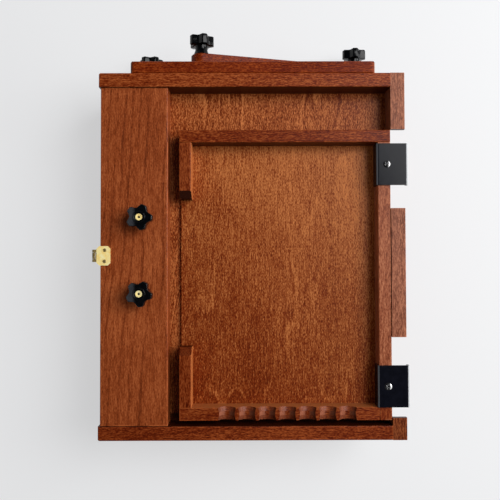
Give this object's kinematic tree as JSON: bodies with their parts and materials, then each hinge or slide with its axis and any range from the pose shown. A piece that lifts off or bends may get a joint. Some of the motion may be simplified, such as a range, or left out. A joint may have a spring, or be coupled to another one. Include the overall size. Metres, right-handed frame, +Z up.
{
  "type": "pochade box",
  "caption": "Wooden painter's box with a hinged lid, side stay, sliding canvas masts, palette, tripod socket and a lift-off brush tray.",
  "frame": {"origin": "mouth of the tripod socket in the middle of the base's underside", "axes": "+X to the painter's right along the front, +Y back towards the lid hinges, +Z up out of the closed box"},
  "size_m": [0.4332, 0.3331, 0.1179],
  "materials": {
    "stained_hardwood": "satin",
    "stained_plywood": "satin",
    "black_steel": "satin",
    "black_plastic": "satin",
    "brass": "polished"
  },
  "bodies": {
    "base": {"base_front_wall": "stained_hardwood", "base_back_wall": "stained_hardwood", "base_left_side": "stained_hardwood", "base_right_side": "stained_hardwood", "base_floor": "stained_plywood", "tripod_block": "stained_hardwood", "tripod_insert": "brass", "palette_runners": "stained_hardwood", "long_divider": "stained_plywood", "cross_dividers": "stained_plywood", "hinge_base_leaves": "black_steel", "hinge_pins": "black_steel", "hinge_base_screws": "black_steel", "stay_rail": "stained_hardwood", "stay_bolts": "brass", "catch_stud": "brass"},
    "palette_board": {"palette": "stained_plywood"},
    "lid": {"lid_right_rail": "stained_hardwood", "lid_left_rail": "stained_hardwood", "lid_back_lip_left": "stained_hardwood", "lid_back_lip_middle": "stained_hardwood", "lid_back_lip_right": "stained_hardwood", "lid_panel": "stained_plywood", "lid_plank": "stained_hardwood", "lid_front_wall": "stained_hardwood", "lid_back_wall": "stained_hardwood", "canvas_ledge": "stained_hardwood", "mast_guides": "stained_hardwood", "mast_bolts": "brass", "hinge_lid_leaves": "black_steel", "hinge_lid_screws": "black_steel", "stay_track": "stained_hardwood", "catch_plate": "brass", "catch_pin": "brass", "catch_screws": "brass"},
    "catch": {"catch_leaf": "brass"},
    "left_mast": {"mast_left": "stained_hardwood", "mast_clip_left": "stained_hardwood"},
    "right_mast": {"mast_right": "stained_hardwood", "mast_clip_right": "stained_hardwood"},
    "left_mast_star": {"mast_knob_left": "black_plastic", "mast_knob_bush_left": "brass"},
    "right_mast_star": {"mast_knob_right": "black_plastic", "mast_knob_bush_right": "brass"},
    "arm": {"stay_arm": "stained_hardwood"},
    "arm_star": {"stay_knob": "black_plastic", "stay_knob_stud": "brass"},
    "pivot_star": {"pivot_knob": "black_plastic", "pivot_knob_bush": "brass"},
    "rail_star": {"rail_knob": "black_plastic", "rail_knob_bush": "brass"},
    "tray": {"tray_floor": "stained_plywood", "tray_left_rail": "stained_hardwood", "tray_back_rail": "stained_hardwood", "tray_brush_rail": "stained_hardwood", "tray_front_stub_left": "stained_hardwood", "tray_front_stub_right": "stained_hardwood", "tray_hook_left": "black_steel", "tray_hook_right": "black_steel", "tray_hook_screws": "black_steel"}
  },
  "joints": [
    {"name": "lid_hinge", "type": "hinge", "parent": "base", "child": "lid", "pos_m": [0, 0.1505, 0.053], "axis": [-1, 0, 0], "range_deg": [0, 105]},
    {"name": "stay_arm_swing", "type": "hinge", "parent": "base", "child": "arm", "pos_m": [-0.2129, 0.12, 0.029], "axis": [-1, 0, 0], "range_deg": [0, 105]},
    {"name": "tray_lift", "type": "slide", "parent": "lid", "child": "tray", "axis": [0, 0, 1], "range_m": [0, 0.06]},
    {"name": "left_mast_slide", "type": "slide", "parent": "lid", "child": "left_mast", "axis": [0, -1, 0], "range_m": [0, 0.18]},
    {"name": "right_mast_slide", "type": "slide", "parent": "lid", "child": "right_mast", "axis": [0, -1, 0], "range_m": [0, 0.18]},
    {"name": "left_mast_knob_spin", "type": "hinge", "parent": "lid", "child": "left_mast_star", "pos_m": [-0.0393, -0.116, 0.097], "axis": [0, 0, 1], "continuous": true},
    {"name": "right_mast_knob_spin", "type": "hinge", "parent": "lid", "child": "right_mast_star", "pos_m": [0.0393, -0.116, 0.097], "axis": [0, 0, 1], "continuous": true},
    {"name": "stay_knob_spin", "type": "hinge", "parent": "arm", "child": "arm_star", "pos_m": [-0.2193, -0.055, 0.075], "axis": [-1, 0, 0], "continuous": true},
    {"name": "pivot_knob_spin", "type": "hinge", "parent": "base", "child": "pivot_star", "pos_m": [-0.2193, 0.12, 0.029], "axis": [-1, 0, 0], "continuous": true},
    {"name": "rail_knob_spin", "type": "hinge", "parent": "base", "child": "rail_star", "pos_m": [-0.206, -0.117, 0.029], "axis": [-1, 0, 0], "continuous": true},
    {"name": "catch_swing", "type": "hinge", "parent": "lid", "child": "catch", "pos_m": [0, -0.1662, 0.0952], "axis": [-1, 0, 0], "range_deg": [0, 170]},
    {"name": "palette_slide", "type": "slide", "parent": "base", "child": "palette_board", "axis": [0, 1, 0], "range_m": [0, 0.078]}
  ],
  "couplings": [
    {"joint": "stay_arm_swing", "follows": "lid_hinge", "ratio": 0.9976}
  ]
}
